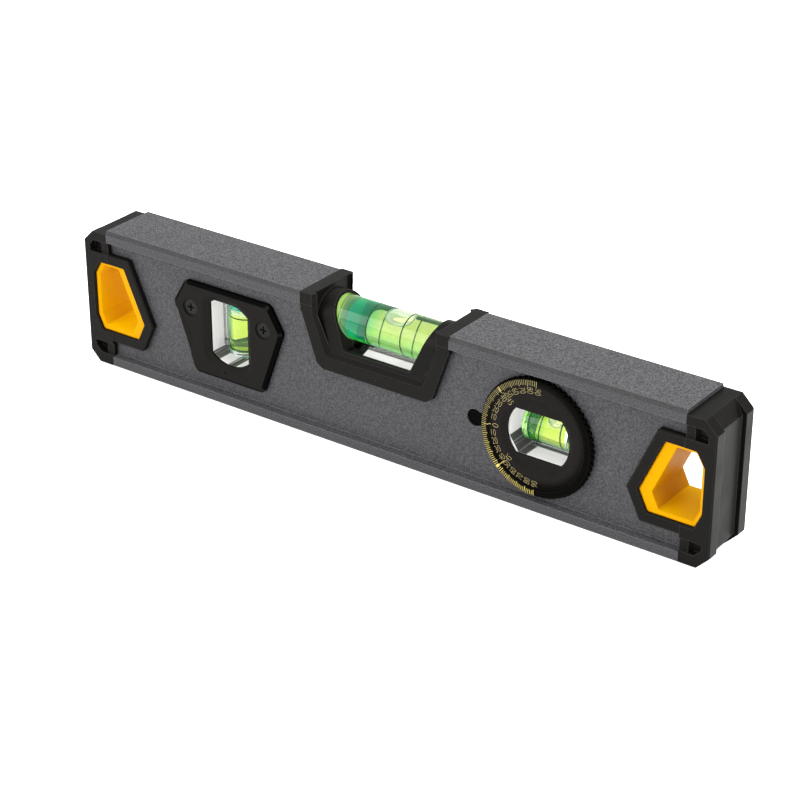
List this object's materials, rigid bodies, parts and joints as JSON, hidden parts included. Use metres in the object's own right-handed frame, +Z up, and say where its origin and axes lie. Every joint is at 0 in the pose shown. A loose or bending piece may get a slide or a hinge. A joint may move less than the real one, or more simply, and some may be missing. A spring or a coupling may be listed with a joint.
{
  "type": "pocket spirit level",
  "caption": "Short box-section spirit level with level and plumb vials, a turning angle dial, black end caps and a hanging hole at each end.",
  "frame": {"origin": "middle of the base, halfway along the length and the thickness", "axes": "+X along the level to its dial end, +Y to the back, +Z up; the front face with the dial scale looks to -Y"},
  "size_m": [0.25, 0.0228, 0.052],
  "materials": {
    "grey_paint": "fine grey powder coat on aluminium",
    "black_plastic": "moulded, satin",
    "yellow_plastic": "moulded, satin",
    "white_plastic": "moulded, satin",
    "clear_plastic": "polished acrylic",
    "green_liquid": "tinted liquid",
    "black_ink": "printed ring",
    "black_steel": "black oxide",
    "rubber": "matt"
  },
  "bodies": {
    "level": {"beam": "grey_paint", "left_end_cap": "black_plastic", "right_end_cap": "black_plastic", "left_hole_liner": "yellow_plastic", "right_hole_liner": "yellow_plastic", "level_housing": "black_plastic", "level_reflector": "white_plastic", "level_vial": "clear_plastic", "level_liquid": "green_liquid", "level_rings": "black_ink", "level_vial_plug": "clear_plastic", "plumb_front_cover": "black_plastic", "plumb_rear_cover": "black_plastic", "plumb_screws": "black_steel", "plumb_carrier": "white_plastic", "plumb_vial": "clear_plastic", "plumb_liquid": "green_liquid", "plumb_rings": "black_ink", "plumb_vial_plug": "clear_plastic", "dial_housing": "black_plastic", "dial_friction_ring": "rubber"},
    "dial": {"dial_front_bezel": "black_plastic", "dial_rear_bezel": "black_plastic", "dial_carrier": "white_plastic", "dial_vial": "clear_plastic", "dial_liquid": "green_liquid", "dial_rings": "black_ink", "dial_vial_plug": "clear_plastic"}
  },
  "joints": [
    {"name": "dial_turn", "type": "hinge", "parent": "level", "child": "dial", "pos_m": [0.0623, 0, 0.026], "axis": [0, -1, 0], "range_deg": [-90, 90]}
  ]
}
